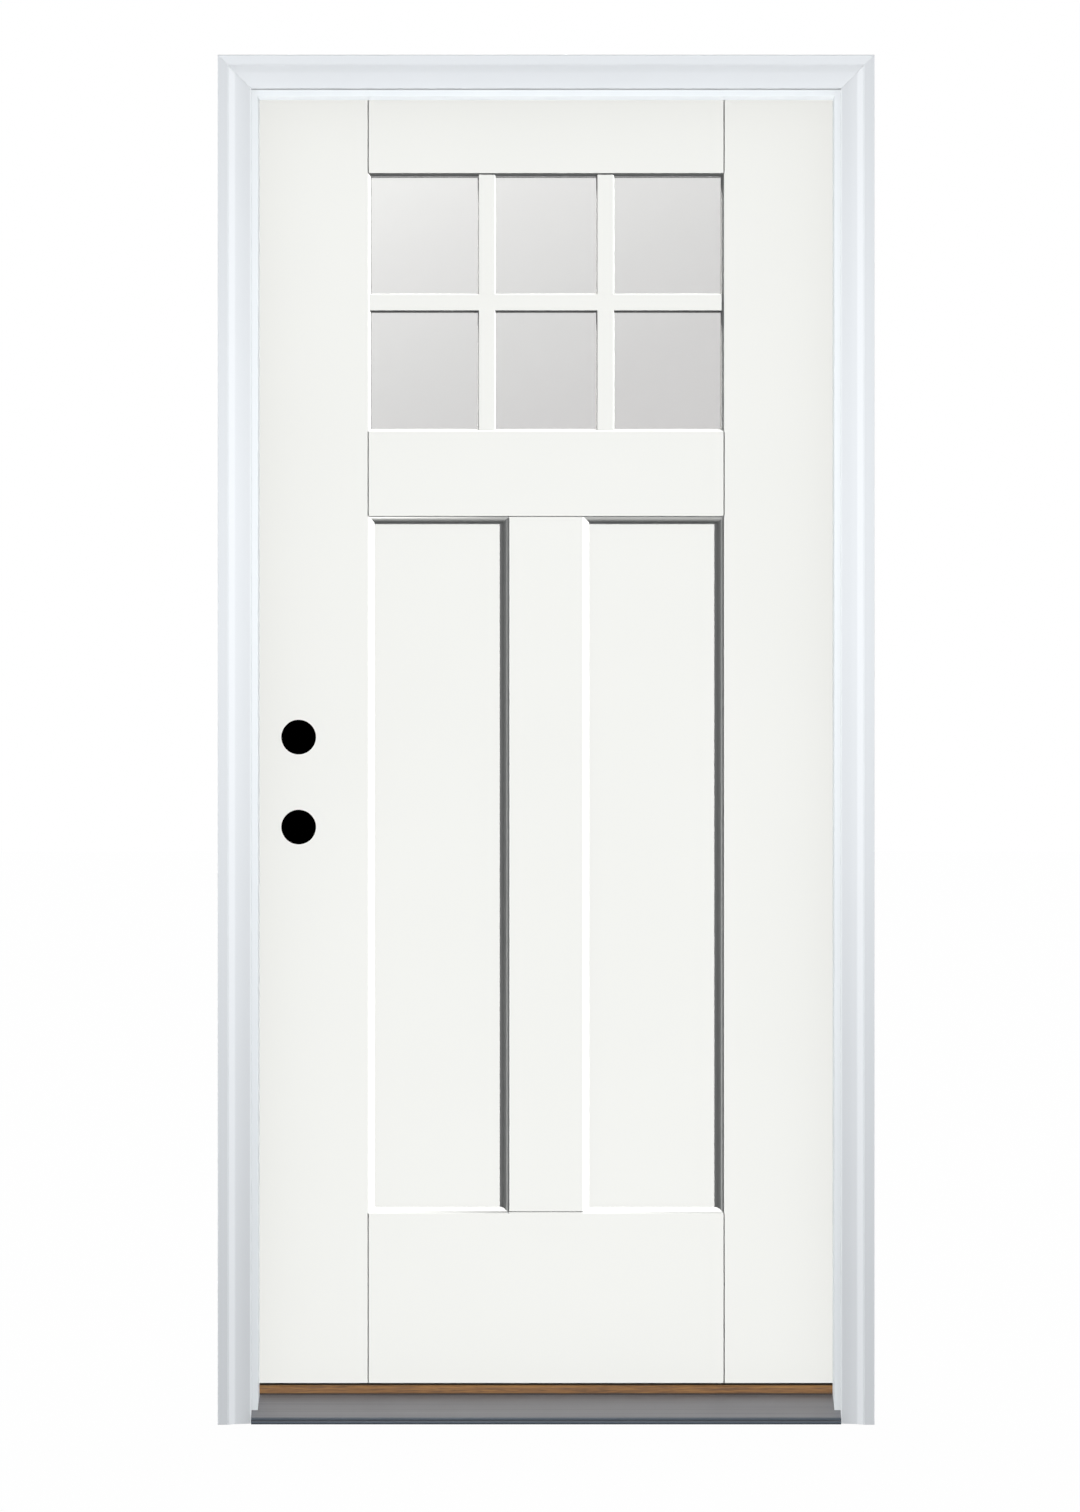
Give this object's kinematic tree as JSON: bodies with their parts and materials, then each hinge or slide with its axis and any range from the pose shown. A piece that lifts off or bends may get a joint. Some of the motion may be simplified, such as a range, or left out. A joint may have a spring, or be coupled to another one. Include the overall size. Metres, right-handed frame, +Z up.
{
  "type": "panelled front door",
  "caption": "Pre-hung exterior door with a divided light over tall recessed panels, in a rabbeted frame with mitred casing, hinges, weatherstrip and a ribbed sill under an oak cap.",
  "frame": {"origin": "on the sill's underside, midway between the jambs, in the plane of the jambs' outdoor edges", "axes": "+X to the right seen from outdoors (towards the hinges), +Y indoors, +Z up"},
  "size_m": [1.0096, 0.1677, 2.1053],
  "materials": {
    "skin_white": "smooth moulded skin with a satin white coat",
    "jamb_paint": "painted pine, satin white",
    "casing_paint": "painted pine, satin cool white",
    "foam_seal": "compressed foam in a thin skin",
    "sill_core": "resin-bonded wood composite, sawn",
    "sill_aluminium": "mill finish, fine lengthwise drawing lines",
    "oak_cap": "clear-finished oak, grain lengthwise",
    "sweep_vinyl": "flexible vinyl, matt",
    "screw_steel": "zinc plated",
    "hinge_steel": "satin nickel plate",
    "stile_wood": "laminated veneer lumber, sawn",
    "core_foam": "rigid polyurethane foam",
    "surround_vinyl": "rigid cellular vinyl",
    "glazing_tape": "butyl tape",
    "pane_glass": "clear float glass",
    "spacer_aluminium": "bright rolled box section",
    "block_rubber": "black rubber"
  },
  "bodies": {
    "frame": {"strike_jamb": "jamb_paint", "hinge_jamb": "jamb_paint", "head_jamb": "jamb_paint", "strike_brickmould": "casing_paint", "hinge_brickmould": "casing_paint", "head_brickmould": "casing_paint", "strike_weatherstrip": "foam_seal", "hinge_weatherstrip": "foam_seal", "head_weatherstrip": "foam_seal", "corner_pads": "foam_seal", "sill_substrate": "sill_core", "sill_deck": "sill_aluminium", "threshold_cap": "oak_cap", "cap_screws": "screw_steel", "frame_screws": "screw_steel", "top_jamb_leaf": "hinge_steel", "middle_jamb_leaf": "hinge_steel", "bottom_jamb_leaf": "hinge_steel", "top_hinge_pin": "hinge_steel", "middle_hinge_pin": "hinge_steel", "bottom_hinge_pin": "hinge_steel", "jamb_leaf_screws": "screw_steel"},
    "door": {"exterior_skin": "skin_white", "interior_skin": "skin_white", "lock_stile": "stile_wood", "hinge_stile": "stile_wood", "top_rail": "stile_wood", "bottom_rail": "stile_wood", "lock_block": "stile_wood", "foam_core": "core_foam", "door_sweep": "sweep_vinyl", "glazing_surround": "surround_vinyl", "exterior_glazing_tape": "glazing_tape", "interior_glazing_tape": "glazing_tape", "exterior_pane": "pane_glass", "interior_pane": "pane_glass", "glass_spacer": "spacer_aluminium", "setting_blocks": "block_rubber", "exterior_crossbar": "skin_white", "exterior_uprights": "skin_white", "interior_crossbar": "skin_white", "interior_uprights": "skin_white", "top_door_leaf": "hinge_steel", "middle_door_leaf": "hinge_steel", "bottom_door_leaf": "hinge_steel", "door_leaf_screws": "screw_steel"}
  },
  "joints": [
    {"name": "door_swing", "type": "hinge", "parent": "frame", "child": "door", "pos_m": [0.45561, 0.1289, 1.05], "axis": [0, 0, -1], "range_deg": [0, 170]}
  ]
}
